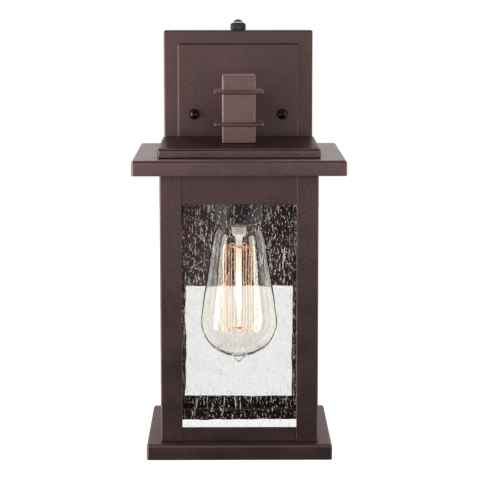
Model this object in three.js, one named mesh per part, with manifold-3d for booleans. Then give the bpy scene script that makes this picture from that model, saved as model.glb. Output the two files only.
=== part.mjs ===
// An outdoor wall lantern: a square glass cage with a pan base and a two-tier roof, hung from a wall
// plate by a square arm, with an E26 lamp holder and a long filament bulb inside.
// Millimetres. X is across, -Y is the front and +Z is up. The origin lies on the wall, at the middle
// of the mounting bars and level with the two ball nuts.
import * as THREE from "three";
import { mergeVertices } from "three/addons/utils/BufferGeometryUtils.js";
import Module from "manifold-3d";

const wasm = await Module();
wasm.setup();

// ---- Driving dimensions ----
const gap = 0.3; // between pieces that touch
const reach = 124; // wall to the lantern's upright axis
const studLevel = 256.4; // ball nuts above the base's top face

const cageSide = 128;
const cageHeight = 219.5; // base top to the roof's lower edge
const postLeg = 17.6; // width of each leg of a corner post
const postWall = 2.5;
const railRecess = 1.2; // rails behind the posts' faces
const railWall = 1.6;
const bottomRailHeight = 11.5;
const topRailDrop = 25.1; // top rail below the roof's lower edge

const panSheet = 1.6;
const baseSide = 150.6;
const baseHeight = 12.9;
const baseOpening = 110;
const roofSide = 171;
const roofHeight = 12.4;
const capSide = 131;
const capHeight = 7.7;
const panCorner = 2;

const paneThickness = 3;
const paneHeight = 217.6;
const clipWidth = 14;
const clipSheet = 0.8;

const armPostSide = 27.7;
const armPostHeight = 56;
const armWall = 1.8;
const tubeSide = 22.6;
const finSide = 40.6;
const finThickness = 2.7;
const finLevel = 254.1; // underside of the lower fin
const finPitch = 26.5;

const plateWidth = 131;
const plateHeight = 227.1;
const plateDepth = 20;
const plateTop = 73; // above the studs
const panelWidth = 106.6;
const panelHeight = 203.8;
const panelRise = 4;
const studSpacing = 78;
const studRadius = 2;

const barWidth = 22;
const barSheet = 2;
const wallBarLength = 106;
const studBarLength = 104;

const nippleRadius = 4.8;
const nippleBore = 3.3;
const leadRadius = 1.1;
const leadSpread = 1.5; // each lead off the nipple's axis

const socketRadius = 19.5;
const socketMouth = 171.3; // level of the lamp holder's lower face
const socketHeight = 43;
const capRadius = 13; // E26
const bulbTip = 53.7;

// ---- Levels above the base's top face ----
const roofTop = cageHeight + roofHeight;
const capTop = roofTop + capHeight;
const armTop = capTop + armPostHeight;
const tubeLevel = finLevel + (finThickness + finPitch) / 2; // middle of the level tube
const panelFace = reach - plateDepth - panelRise; // raised panel behind the lantern's axis
const cageHalf = cageSide / 2;

// ---- Shapes ----
const EPS = 0.02; // where two joined blocks would share a face

function toSolid(geometry) {
  const bare = geometry.clone();
  bare.deleteAttribute("normal");
  bare.deleteAttribute("uv");
  const merged = mergeVertices(bare, 1e-4);
  const corners = merged.index.array;
  const kept = [];
  for (let i = 0; i < corners.length; i += 3) {
    const [a, b, c] = corners.slice(i, i + 3);
    if (a !== b && b !== c && c !== a) kept.push(a, b, c);
  }
  const vertProperties = merged.attributes.position.array;
  return new wasm.Manifold(
    new wasm.Mesh({ numProp: 3, vertProperties, triVerts: new Uint32Array(kept) }),
  );
}

function toGeometry(solid) {
  const { vertProperties, triVerts } = solid.getMesh();
  const geometry = new THREE.BufferGeometry();
  geometry.setAttribute("position", new THREE.BufferAttribute(vertProperties, 3));
  geometry.setIndex(new THREE.BufferAttribute(triVerts, 1));
  geometry.computeVertexNormals();
  return geometry;
}

const join = (...parts) => parts.map(toSolid).reduce((sum, part) => sum.add(part));
const cut = (body, ...tools) => tools.map(toSolid).reduce((rest, tool) => rest.subtract(tool), body);

// A box between two corners on each axis.
function block([x0, x1], [y0, y1], [z0, z1]) {
  const box = new THREE.BoxGeometry(x1 - x0, y1 - y0, z1 - z0);
  return box.translate((x0 + x1) / 2, (y0 + y1) / 2, (z0 + z1) / 2);
}

function roundedRectangle(width, height, radius) {
  const [x, y] = [width / 2, height / 2];
  const shape = new THREE.Shape();
  shape.moveTo(x - radius, -y);
  shape.absarc(x - radius, radius - y, radius, -Math.PI / 2, 0);
  shape.absarc(x - radius, y - radius, radius, 0, Math.PI / 2);
  shape.absarc(radius - x, y - radius, radius, Math.PI / 2, Math.PI);
  shape.absarc(radius - x, radius - y, radius, Math.PI, Math.PI * 1.5);
  shape.closePath();
  return shape;
}

// A square-section upright prism with rounded corners, centred on the Z axis.
function prism(side, radius, [z0, z1]) {
  const shape = roundedRectangle(side, side, radius);
  const settings = { depth: z1 - z0, bevelEnabled: false, curveSegments: 4 };
  return new THREE.ExtrudeGeometry(shape, settings).translate(0, 0, z0);
}

// An upright slab facing the front, centred on x = 0 and z = 0, between two depths.
function slab(width, height, radius, [y0, y1]) {
  const shape = roundedRectangle(width, height, radius);
  const settings = { depth: y1 - y0, bevelEnabled: false, curveSegments: 4 };
  return new THREE.ExtrudeGeometry(shape, settings).rotateX(Math.PI / 2).translate(0, y1, 0);
}

// A profile of [radius, height] points turned about the Z axis, listed upwards on the outside.
function turned(profile, segments = 24) {
  const points = profile.map(([r, z]) => new THREE.Vector2(r, z));
  return new THREE.LatheGeometry(points, segments).rotateX(Math.PI / 2);
}

const rod = (radius, [z0, z1], segments = 16) =>
  turned([[0, z0], [radius, z0], [radius, z1], [0, z1]], segments);

const ring = (inner, outer, [z0, z1], segments = 24) =>
  turned([[inner, z0], [outer, z0], [outer, z1], [inner, z1], [inner, z0]], segments);

// Turns a shape about Z into one about Y, with its upper end towards the front.
const facingFront = (geometry) => geometry.rotateX(Math.PI / 2);

// A tube of a given section along a smooth curve through the points.
function wire(radius, points, steps, sides = 8) {
  const path = new THREE.CatmullRomCurve3(points.map((p) => new THREE.Vector3(...p)));
  const section = new THREE.Shape();
  for (let i = 0; i < sides; i += 1) {
    const angle = (i / sides) * 2 * Math.PI;
    const [x, y] = [radius * Math.cos(angle), radius * Math.sin(angle)];
    if (i === 0) section.moveTo(x, y);
    else section.lineTo(x, y);
  }
  section.closePath();
  return new THREE.ExtrudeGeometry(section, { steps, extrudePath: path, bevelEnabled: false });
}

// A square pan open underneath, with an optional square or round hole in its top sheet.
function pan(side, [z0, z1], hole) {
  const inside = prism(side - 2 * panSheet, panCorner / 2, [z0 - 1, z1 - panSheet]);
  return cut(toSolid(prism(side, panCorner, [z0, z1])), inside, hole);
}

function hexNut(acrossFlats, bore, [z0, z1]) {
  const body = rod(acrossFlats / Math.sqrt(3), [z0, z1], 6);
  return cut(toSolid(body), rod(bore, [z0 - 1, z1 + 1]));
}

// ---- Finishes: colour, metalness, roughness ----
const finishes = {
  bronze: [0x3f3331, 0.55, 0.5],
  steel: [0xb9bcc0, 0.9, 0.35],
  brass: [0xb98f45, 0.9, 0.35],
  aluminium: [0xc9c9c6, 0.9, 0.4],
  black: [0x141414, 0.0, 0.35],
  rubber: [0x1c1c1c, 0.0, 0.8],
  lens: [0x8c8f92, 0.0, 0.3],
  green: [0x2f7d3c, 0.1, 0.5],
  copper: [0xb3663a, 0.9, 0.4],
  white: [0xe8e6e0, 0.0, 0.5],
  glass: [0xeef2f0, 0.0, 0.05],
  amber: [0xe9dcae, 0.0, 0.05],
  filament: [0xe07a30, 0.2, 0.5],
};
const seeThrough = { lens: 0.7, glass: 0.3, amber: 0.35 };

function place(group, name, shape, finish) {
  const geometry = shape.isBufferGeometry ? shape : toGeometry(shape);
  const [color, metalness, roughness] = finishes[finish];
  const opacity = seeThrough[finish] ?? 1;
  const look = { color, metalness, roughness, opacity, transparent: opacity < 1 };
  const mesh = new THREE.Mesh(geometry, new THREE.MeshStandardMaterial(look));
  mesh.name = name;
  group.add(mesh);
}

const fixture = new THREE.Group();
const wall = new THREE.Group();
const lantern = new THREE.Group();
lantern.position.set(0, -reach, -studLevel);
fixture.add(wall, lantern);

const quarters = { front: 0, right: 1, rear: 2, left: 3 };
const quarterTurn = (geometry, count) => geometry.rotateZ((count * Math.PI) / 2);
const sides = [["left", -1], ["right", 1]];

// ---- Wall: mounting bars, studs, ball nuts ----
function makeWallBar() {
  const slot = { centre: 40, length: 13, width: 4.6 };
  const half = barWidth / 2;
  const long = wallBarLength / 2;
  const body = toSolid(block([-half, half], [-barSheet, 0], [-long, long]));
  const slots = [-1, 1].map((end) => {
    const middle = end * slot.centre;
    const span = [middle - slot.length / 2, middle + slot.length / 2];
    return block([-slot.width / 2, slot.width / 2], [-barSheet - 1, 1], span);
  });
  return cut(body, ...slots);
}

const studBarFace = barSheet * 2 + gap; // front of the stud bar, off the wall
const groundScrewX = 22;

function alongY(radius, [near, far], x, z = 0, segments = 16) {
  return facingFront(rod(radius, [near, far], segments)).translate(x, 0, z);
}

function makeStudBar() {
  const half = barWidth / 2;
  const long = studBarLength / 2;
  const body = block([-long, long], [-studBarFace, -barSheet - gap], [-half, half]);
  const holes = [-studSpacing / 2, studSpacing / 2, groundScrewX];
  return cut(toSolid(body), ...holes.map((x) => alongY(studRadius + gap, [0, 10], x)));
}

function makeBallNut(x) {
  const ballRadius = 4.6;
  const seat = plateDepth + panelRise + gap;
  const centre = 4.6;
  const arc = [];
  for (let i = 0; i <= 6; i += 1) {
    const angle = THREE.MathUtils.degToRad(-42 + i * 20);
    arc.push([ballRadius * Math.cos(angle), centre + ballRadius * Math.sin(angle)]);
  }
  const crown = [0, centre + ballRadius];
  const profile = [[0, 0], [3.9, 0], [3.9, 1.2], ...arc, crown];
  const body = facingFront(turned(profile, 16)).translate(x, -seat, 0);
  const thread = alongY(studRadius + gap, [seat - 1, seat + 6.5], x);
  const dimple = alongY(1, [seat + 8.4, seat + 12], x, 0, 12);
  return cut(toSolid(body), thread, dimple);
}

place(wall, "wall_bar", makeWallBar(), "steel");
place(wall, "stud_bar", makeStudBar(), "steel");
for (const [name, side] of sides) {
  const x = (side * studSpacing) / 2;
  const studEnd = plateDepth + panelRise + gap + 6;
  place(wall, `mounting_stud_${name}`, alongY(studRadius, [barSheet + gap, studEnd], x), "steel");
  place(wall, `ball_nut_${name}`, makeBallNut(x), "bronze");
}

function makeGroundScrew() {
  const head = studBarFace + gap;
  const shank = alongY(studRadius, [barSheet + gap, head + 1], groundScrewX);
  const cap = alongY(3.6, [head, head + 2.4], groundScrewX, 0, 20);
  const drive = alongY(0.6, [head + 1.4, head + 4], groundScrewX, 0, 8);
  return cut(join(shank, cap), drive);
}
place(wall, "ground_screw", makeGroundScrew(), "green");

// ---- Back plate ----
const plateMiddle = plateTop - plateHeight / 2;
const tubeZ = tubeLevel - studLevel; // level tube, above the studs
const rim = 1.2; // the tray's open edge, off the wall
const photocellDepth = 10.4; // its axis, off the wall

function makeBackPlate() {
  const face = plateDepth + panelRise;
  const tray = slab(plateWidth, plateHeight, 2.5, [-plateDepth, -rim]);
  const panel = slab(panelWidth, panelHeight, 2, [-face, -plateDepth + 1]);
  const inside = 2 * panSheet;
  const trayHollow = slab(plateWidth - inside, plateHeight - inside, 1.2, [-plateDepth + panSheet, 1]);
  const panelHollow = slab(panelWidth - inside, panelHeight - inside, 1, [-face + panSheet, 1]);
  const body = cut(join(tray, panel), trayHollow, panelHollow);
  const placed = body.translate([0, 0, plateMiddle]);
  const studHoles = [-1, 1].map((side) => alongY(2.6, [10, 30], (side * studSpacing) / 2));
  const wireHole = alongY(nippleRadius + gap, [10, 30], 0, tubeZ);
  const cellHole = rod(5.3, [plateTop - 5, plateTop + 5]).translate(0, -photocellDepth, 0);
  return cut(placed, ...studHoles, wireHole, cellHole);
}
place(wall, "back_plate", makeBackPlate(), "bronze");

// ---- Photocell ----
const cell = new THREE.Group();
cell.position.set(0, -photocellDepth, plateTop);
wall.add(cell);
const nutHeight = 6.4;
const cellNeck = 5;
const under = -panSheet - gap; // below the plate's top sheet

const cellBody = turned([
  [0, -26], [6.6, -26], [7, -25.4], [7, under - 1.3], [cellNeck, under - 1.3],
  [cellNeck, nutHeight], [4.4, nutHeight], [4.4, 4], [0, 4],
]);
const cellNutTop = turned([
  [cellNeck + gap, gap], [6.8, gap], [6.8, nutHeight - 1], [6, nutHeight],
  [cellNeck + gap, nutHeight], [cellNeck + gap, gap],
]);
const cellLens = turned([[0, 4.3], [4.05, 4.3], [4.05, 8.2], [3.5, 9.1], [2.2, 9.6], [0, 9.6]]);
place(cell, "photocell_body", cellBody, "black");
place(cell, "photocell_nut", cellNutTop, "black");
place(cell, "photocell_lens", cellLens, "lens");
place(cell, "photocell_gasket", ring(cellNeck + gap, 7.6, [under - 1, under]), "rubber");

// ---- Arm ----
function makeArmTube() {
  const half = tubeSide / 2;
  const near = armPostSide / 2 + gap;
  const far = panelFace - gap;
  const skin = armWall;
  const body = block([-half, half], [near, far], [-half, half]);
  const bore = block([skin - half, half - skin], [near - 1, far - 2.4], [skin - half, half - skin]);
  const wireHole = facingFront(rod(nippleRadius + gap, [-far - 1, -far + 4]));
  return cut(toSolid(body), bore, wireHole).translate([0, 0, tubeLevel]);
}

const armFloor = 2; // thickness of the arm post's foot
function makeArmPost() {
  const foot = capTop + gap;
  const body = prism(armPostSide, 2.2, [foot, armTop]);
  const hollow = prism(armPostSide - 2 * armWall, 1, [foot + armFloor, armTop - armWall]);
  const wireHole = rod(nippleRadius + gap, [foot - 1, foot + armFloor + 1]);
  const half = tubeSide / 2 - armWall;
  const window = block([-half, half], [5, 20], [tubeLevel - half, tubeLevel + half]);
  return cut(toSolid(body), hollow, wireHole, window);
}

function makeFin(level) {
  const body = prism(finSide, 0.8, [level, level + finThickness]);
  return cut(toSolid(body), prism(armPostSide + 2 * gap, 2.2, [level - 1, level + 4]));
}

place(lantern, "arm_tube", makeArmTube(), "bronze");
place(lantern, "arm_post", makeArmPost(), "bronze");
place(lantern, "fin_lower", makeFin(finLevel), "bronze");
place(lantern, "fin_upper", makeFin(finLevel + finPitch), "bronze");

const armNipple = facingFront(ring(nippleBore, nippleRadius, [-panelFace - 6, -panelFace + 6], 16));
place(lantern, "arm_nipple", armNipple.translate(0, 0, tubeLevel), "steel");
const armNut = toGeometry(hexNut(14, nippleRadius + gap, [0, 3.4]));
const nutSeat = panelFace + panSheet + gap;
place(lantern, "arm_nut", facingFront(armNut).translate(0, nutSeat + 3.4, tubeLevel), "steel");

// ---- Roof ----
const nippleHole = (level) => rod(nippleRadius + gap, [level - 4, level + 4]);
place(lantern, "roof_cap", pan(capSide, [roofTop + gap, capTop], nippleHole(capTop)), "bronze");
place(lantern, "roof", pan(roofSide, [cageHeight, roofTop], nippleHole(roofTop)), "bronze");

const spacerSpan = [roofTop + gap, capTop - panSheet - gap];
place(lantern, "roof_spacer", ring(nippleRadius + gap, 8, spacerSpan), "steel");

const strapTop = roofTop - panSheet - gap;
const strapSheet = 1.6;
function makeSocketStrap() {
  const inside = cageHalf - railRecess - railWall - gap - paneThickness - 1;
  const level = block([-inside, inside], [-9, 9], [strapTop - strapSheet, strapTop]);
  return cut(toSolid(level), nippleHole(strapTop));
}
place(lantern, "socket_strap", makeSocketStrap(), "steel");

const nippleFoot = socketMouth + socketHeight - 6;
const nippleHead = capTop + gap + armFloor + 7;
place(lantern, "roof_nipple", ring(nippleBore, nippleRadius, [nippleFoot, nippleHead], 16), "steel");
const upperSeat = capTop + armFloor + 2 * gap;
const lowerSeat = strapTop - strapSheet - gap;
const upperNut = hexNut(14, nippleRadius + gap, [upperSeat, upperSeat + 3.6]);
const lowerNut = hexNut(14, nippleRadius + gap, [lowerSeat - 3.6, lowerSeat]);
place(lantern, "lock_nut_upper", upperNut, "steel");
place(lantern, "lock_nut_lower", lowerNut, "steel");

// ---- Glass cage: posts, rails, panes, clips ----
const postFoot = gap;
const postHead = strapTop;

// Posts and rails are drawn at the front and turned a quarter at a time.
function makeCornerPost() {
  const outer = cageHalf;
  const inner = cageHalf - postLeg;
  const wallFace = cageHalf - postWall;
  const outline = new THREE.Shape();
  const edge = 1.2;
  outline.moveTo(inner, -outer);
  outline.lineTo(outer - edge, -outer);
  outline.absarc(outer - edge, edge - outer, edge, -Math.PI / 2, 0);
  outline.lineTo(outer, -inner);
  outline.lineTo(wallFace, -inner);
  outline.lineTo(wallFace, -wallFace);
  outline.lineTo(inner, -wallFace);
  outline.closePath();
  const settings = { depth: postHead - postFoot, bevelEnabled: false, curveSegments: 3 };
  return new THREE.ExtrudeGeometry(outline, settings).translate(0, 0, postFoot);
}

function makeRail([z0, z1]) {
  const half = cageHalf - postLeg - gap;
  const face = cageHalf - railRecess;
  return block([-half, half], [-face, railWall - face], [z0, z1]);
}

const paneFace = cageHalf - postWall - gap; // outer face of a pane
const paneBack = paneFace - paneThickness;

// The front and rear panes fit between the two side panes.
function makePane(facesSide) {
  const half = facesSide ? paneFace - 0.5 : paneBack - 0.6;
  return block([-half, half], [-paneFace, -paneBack], [gap, gap + paneHeight]);
}

function makeClip() {
  const half = clipWidth / 2;
  const over = gap + paneHeight + gap; // level of the tab over the pane's edge
  const back = paneBack - gap;
  const railInside = cageHalf - railRecess - railWall - gap;
  const tab = block([-half, half], [-railInside, clipSheet - back], [over, over + clipSheet]);
  const legFoot = cageHeight - topRailDrop + 4;
  const leg = block([-half, half], [-back, clipSheet - back], [legFoot, over + clipSheet - EPS]);
  return join(tab, leg);
}

const topRailFoot = cageHeight - topRailDrop;
const corners = { front_right: 0, rear_right: 1, rear_left: 2, front_left: 3 };
for (const [corner, turns] of Object.entries(corners)) {
  place(lantern, `corner_post_${corner}`, quarterTurn(makeCornerPost(), turns), "bronze");
}
for (const [side, turns] of Object.entries(quarters)) {
  const lower = makeRail([gap, bottomRailHeight]);
  const upper = makeRail([topRailFoot, postHead]);
  place(lantern, `bottom_rail_${side}`, quarterTurn(lower, turns), "bronze");
  place(lantern, `top_rail_${side}`, quarterTurn(upper, turns), "bronze");
  place(lantern, `glass_${side}`, quarterTurn(makePane(turns % 2 === 1), turns), "glass");
  const clip = toGeometry(makeClip());
  place(lantern, `glass_clip_${side}`, quarterTurn(clip, turns), "steel");
}

const opening = prism(baseOpening, 1, [-5, 5]);
place(lantern, "base", pan(baseSide, [-baseHeight, 0], opening), "bronze");

// ---- Lamp holder ----
const shellTop = socketMouth + 29.5;
function makeSocketBody() {
  const edge = 4.4;
  const top = socketMouth + socketHeight;
  const profile = [[0, socketMouth], [socketRadius - edge, socketMouth]];
  for (let i = 1; i <= 5; i += 1) {
    const angle = (i / 5) * (Math.PI / 2);
    const r = socketRadius - edge * (1 - Math.sin(angle));
    profile.push([r, socketMouth + edge * (1 - Math.cos(angle))]);
  }
  profile.push([socketRadius, top - 6], [12, top], [0, top]);
  const bore = rod(14.6, [socketMouth - 1, shellTop + 4]);
  const wireway = rod(3.6, [shellTop, top + 1]);
  const seat = rod(nippleRadius + gap, [nippleFoot - gap, top + 1]);
  return cut(toSolid(turned(profile)), bore, wireway, seat);
}
place(lantern, "socket_body", makeSocketBody(), "black");

const shellFoot = socketMouth + 2;
place(lantern, "socket_shell", ring(13.6, 14.2, [shellFoot, shellTop]), "brass");
const contactLevel = shellTop + 0.4;
const contact = turned([
  [0, contactLevel], [3.4, contactLevel], [4.4, contactLevel + 0.8], [4.4, contactLevel + 1.6],
  [0, contactLevel + 1.6],
]);
place(lantern, "socket_contact", contact, "brass");

// ---- Leads inside the arm ----
function makeLead(side) {
  const x = side * leadSpread;
  const start = contactLevel + 1.6 + gap;
  const back = panelFace + 7;
  return wire(leadRadius, [
    [x, 0, start], [x, 0, start + 20], [x, 0, start + 42], [x, 3, tubeLevel - 8],
    [x, 11, tubeLevel - 1], [x, 30, tubeLevel], [x, 60, tubeLevel], [x, back - 9, tubeLevel],
    [x, back, tubeLevel], [x * 1.8, back + 6, tubeLevel - 6],
    [x * 3, back + 6, tubeLevel - 26], [x * 5, back + 4, tubeLevel - 66],
  ], 44);
}
place(lantern, "lead_black", makeLead(-1), "black");
place(lantern, "lead_white", makeLead(1), "white");

const groundWire = wire(0.9, [
  [groundScrewX + 4.9, -8, 0], [groundScrewX + 6, -12, -10], [groundScrewX + 4, -14, -24],
  [groundScrewX, -15, -40], [groundScrewX - 6, -15, -58],
], 20);
place(wall, "ground_wire", groundWire, "copper");

// ---- Bulb ----
const neckTop = socketMouth + 6.5;
const glassWall = 0.9;
const bulbOutline = [
  [6.4, 59.4], [14, 61.5], [22.6, 67.2], [28.4, 75], [31.4, 83], [32.1, 89], [31.2, 98],
  [27.2, 124], [24.4, 144], [22.8, 155], [21.5, 161], [20, 165.2], [18.2, 168.2], [16, 170.2],
];
function makeBulbGlass() {
  const neck = 12;
  const outside = [
    [0, bulbTip], [2, bulbTip + 0.4], [4, 56.6], ...bulbOutline, [neck, socketMouth],
    [neck, neckTop],
  ];
  const inner = bulbOutline.map(([r, z]) => {
    const drop = THREE.MathUtils.mapLinear(z, bulbOutline[0][1], 90, 1, 0);
    return [r - glassWall, z + glassWall * THREE.MathUtils.clamp(drop, -0.6, 1)];
  });
  const inside = [
    [neck - glassWall, neckTop], [neck - glassWall, socketMouth - 0.8], ...inner.reverse(),
    [0, bulbOutline[0][1] + 0.9],
  ];
  return turned([...outside, ...inside]);
}

const capFoot = socketMouth + gap;
const capHead = capFoot + 22;
const bulbCap = turned([
  [12.4, capFoot], [capRadius, capFoot], [capRadius, capHead], [11.6, capHead + 2.2],
  [11, capHead + 2.2], [12.4, capHead - 0.2], [12.4, capFoot],
]);
const insulatorFoot = capHead + 0.8;
const insulator = turned([
  [0, insulatorFoot], [10.2, insulatorFoot], [10.2, capHead + 3], [6.2, capHead + 5.6],
  [0, capHead + 5.6],
]);
const tin = capHead + 5.6 + gap;

const stemFoot = 81;
const stemTop = neckTop - 0.6;
const stem = turned([
  [0, stemFoot - 1], [1.2, stemFoot], [1.5, 140], [2.6, 147], [2.8, 160], [5.5, 167], [9.6, 173],
  [10.4, stemTop], [0, stemTop],
], 16);

const cageRadius = 14; // of the filament's loops
const cageFoot = 79.6;
const cageHead = 153;
const arms = 8;

// A hub round the stem with an arm out to each loop of the filament.
function makeSupport(level, hubRadius, droop) {
  const hub = ring(hubRadius + gap, hubRadius + 1.5, [level - 1, level + 1], 12);
  const spokes = [];
  for (let i = 0; i < arms; i += 1) {
    const angle = ((i + 0.5) / arms) * 2 * Math.PI;
    const [c, s] = [Math.cos(angle), Math.sin(angle)];
    const [near, far] = [hubRadius + 0.9, cageRadius - 0.6];
    const middle = (near + far) / 2;
    const route = [[near, level], [middle, level - droop / 3], [far, level - droop]];
    spokes.push(wire(0.3, route.map(([r, z]) => [r * c, r * s, z]), 2, 4));
  }
  return join(hub, ...spokes);
}

// One strand that runs up and down between the two supports, open at one gap.
function makeFilament() {
  const runs = 2 * arms;
  const route = [];
  for (let i = 0; i < runs; i += 1) {
    const angle = ((i + 0.75) / runs) * 2 * Math.PI;
    const rises = i % 2 === 0;
    const heights = rises ? [cageFoot + 1, cageHead - 1] : [cageHead - 1, cageFoot + 1];
    for (const z of heights) {
      route.push([cageRadius * Math.cos(angle), cageRadius * Math.sin(angle), z]);
    }
  }
  const pieces = [];
  for (let i = 1; i < route.length; i += 1) {
    const [a, b] = [route[i - 1], route[i]].map((p) => new THREE.Vector3(...p));
    const length = a.distanceTo(b);
    const bar = new THREE.CylinderGeometry(0.3, 0.3, length + 0.2, 4).rotateX(Math.PI / 2);
    const turn = new THREE.Quaternion();
    turn.setFromUnitVectors(new THREE.Vector3(0, 0, 1), b.clone().sub(a).normalize());
    bar.applyQuaternion(turn).translate(...a.clone().add(b).divideScalar(2).toArray());
    pieces.push(bar);
  }
  return join(...pieces);
}

place(lantern, "bulb_glass", makeBulbGlass(), "amber");
place(lantern, "bulb_cap", bulbCap, "aluminium");
place(lantern, "bulb_insulator", insulator, "black");
place(lantern, "bulb_contact", rod(4.4, [tin, tin + 1]), "steel");
place(lantern, "bulb_stem", stem, "glass");
place(lantern, "filament_support_lower", makeSupport(stemFoot + 2, 1.3, 2), "steel");
place(lantern, "filament_support_upper", makeSupport(cageHead - 1, 2.8, 0), "steel");
place(lantern, "filament", makeFilament(), "filament");

export default fixture;
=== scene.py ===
"""The looks of an outdoor wall lantern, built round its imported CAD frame. Metres, +Z up, the front
faces -Y and the wall is the plane y = 0."""

import math
import random

import bmesh
import bpy
from mathutils import Matrix, Vector, noise


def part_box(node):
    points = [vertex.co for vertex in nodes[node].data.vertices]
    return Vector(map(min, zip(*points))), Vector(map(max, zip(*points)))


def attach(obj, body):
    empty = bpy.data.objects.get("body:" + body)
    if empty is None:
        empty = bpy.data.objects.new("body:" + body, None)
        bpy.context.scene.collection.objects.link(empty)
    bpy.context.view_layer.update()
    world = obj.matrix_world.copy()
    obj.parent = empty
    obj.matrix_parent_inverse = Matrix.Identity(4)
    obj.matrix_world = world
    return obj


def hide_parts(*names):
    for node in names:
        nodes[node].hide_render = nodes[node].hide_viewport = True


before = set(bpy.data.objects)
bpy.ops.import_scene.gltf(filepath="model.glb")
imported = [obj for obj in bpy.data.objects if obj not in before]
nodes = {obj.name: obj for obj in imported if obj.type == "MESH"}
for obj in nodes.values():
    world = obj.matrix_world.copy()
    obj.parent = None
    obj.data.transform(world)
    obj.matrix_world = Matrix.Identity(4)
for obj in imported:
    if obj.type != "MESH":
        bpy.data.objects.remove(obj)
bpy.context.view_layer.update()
scene = bpy.context.scene

MM = 0.001
SHEET = 1.6 * MM  # sheet metal of the pans and the back plate
SEED = 11  # of the random draws
SEEDS_PER_PANE = (3200, 1200)  # front and rear, and at the sides
LOOPS = 8  # of the filament

# ---- Places, from the CAD ----
base_low, base_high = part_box("base")
AXIS_X = (base_low.x + base_high.x) / 2
AXIS_Y = (base_low.y + base_high.y) / 2
SIDES = ("front", "right", "rear", "left")
CORNERS = ("front_right", "rear_right", "rear_left", "front_left")


# ---- Camera and studio ----
def make_camera():
    """The photo's own viewpoint."""
    data = bpy.data.cameras.new("camera")
    data.lens = 146.75
    data.sensor_width = 36
    data.clip_end = 20
    camera = bpy.data.objects.new("camera", data)
    camera.location = (-0.0061, -1.7494, 0.1174)
    pitch, yaw, roll = math.radians(7.586), math.radians(0.248), math.radians(-0.07)
    turn = Matrix.Rotation(-yaw, 4, "Z") @ Matrix.Rotation(math.pi / 2 - pitch, 4, "X")
    camera.matrix_world = Matrix.Translation(camera.location) @ turn @ Matrix.Rotation(roll, 4, "Z")
    scene.collection.objects.link(camera)
    scene.camera = camera


def soft_light(name, place, target, width, watts, height):
    data = bpy.data.lights.new(name, "AREA")
    data.energy = watts
    data.shape = "RECTANGLE"
    data.size = width
    data.size_y = height
    light = bpy.data.objects.new(name, data)
    light.location = place
    aim = Vector(target) - Vector(place)
    light.rotation_euler = aim.to_track_quat("-Z", "Y").to_euler()
    scene.collection.objects.link(light)
    return light


def link_math(tree, operation, *values):
    """A math node over numbers and sockets."""
    node = tree.nodes.new("ShaderNodeMath")
    node.operation = operation
    for socket, value in zip(node.inputs, values):
        if isinstance(value, (int, float)):
            socket.default_value = value
        else:
            tree.links.new(value, socket)
    return node.outputs["Value"]


def fade_between(tree, source, low, high):
    """0 to 1, smoothly, as the source goes from low to high."""
    node = tree.nodes.new("ShaderNodeMapRange")
    node.interpolation_type = "SMOOTHSTEP"
    node.inputs["From Min"].default_value = low
    node.inputs["From Max"].default_value = high
    tree.links.new(source, node.inputs["Value"])
    return node.outputs["Result"]


def make_world():
    """Light from a white room beyond the wall plane, which gives the paint its bright top faces, and
    from a dim ceiling in front. What is seen straight on or through glass is white all round."""
    world = bpy.data.worlds.new("studio")
    scene.world = world
    world.use_nodes = True
    tree = world.node_tree
    place = tree.nodes.new("ShaderNodeTexCoord")
    split = tree.nodes.new("ShaderNodeSeparateXYZ")
    tree.links.new(place.outputs["Generated"], split.inputs["Vector"])
    rear = fade_between(tree, split.outputs["Y"], -0.08, 0.08)
    overhead = fade_between(tree, split.outputs["Z"], 0.1, 0.25)
    ceiling = link_math(tree, "MULTIPLY", overhead, 0.2)
    light = link_math(tree, "MAXIMUM", rear, ceiling)
    path = tree.nodes.new("ShaderNodeLightPath")
    bounces = link_math(tree, "SUBTRACT", path.outputs["Ray Depth"], path.outputs["Transmission Depth"])
    through = link_math(tree, "MULTIPLY", link_math(tree, "LESS_THAN", bounces, 1.5),
                        path.outputs["Is Transmission Ray"])
    straight = link_math(tree, "MAXIMUM", path.outputs["Is Camera Ray"], through)
    level = link_math(tree, "MAXIMUM", light, straight)
    tree.links.new(level, tree.nodes["Background"].inputs["Color"])


def make_lamp_glow():
    """The soft light of the lit filament on the stem, the seeds and the lamp holder."""
    data = bpy.data.lights.new("lamp_glow", "POINT")
    data.energy = 0.35
    data.color = (1, 0.9, 0.78)
    data.shadow_soft_size = 6 * MM
    lamp = bpy.data.objects.new("lamp_glow", data)
    lamp.location = (AXIS_X, AXIS_Y, base_high.z + 115 * MM)
    for ray in ("camera", "glossy", "transmission"):
        setattr(lamp, "visible_" + ray, False)
    scene.collection.objects.link(lamp)


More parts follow.
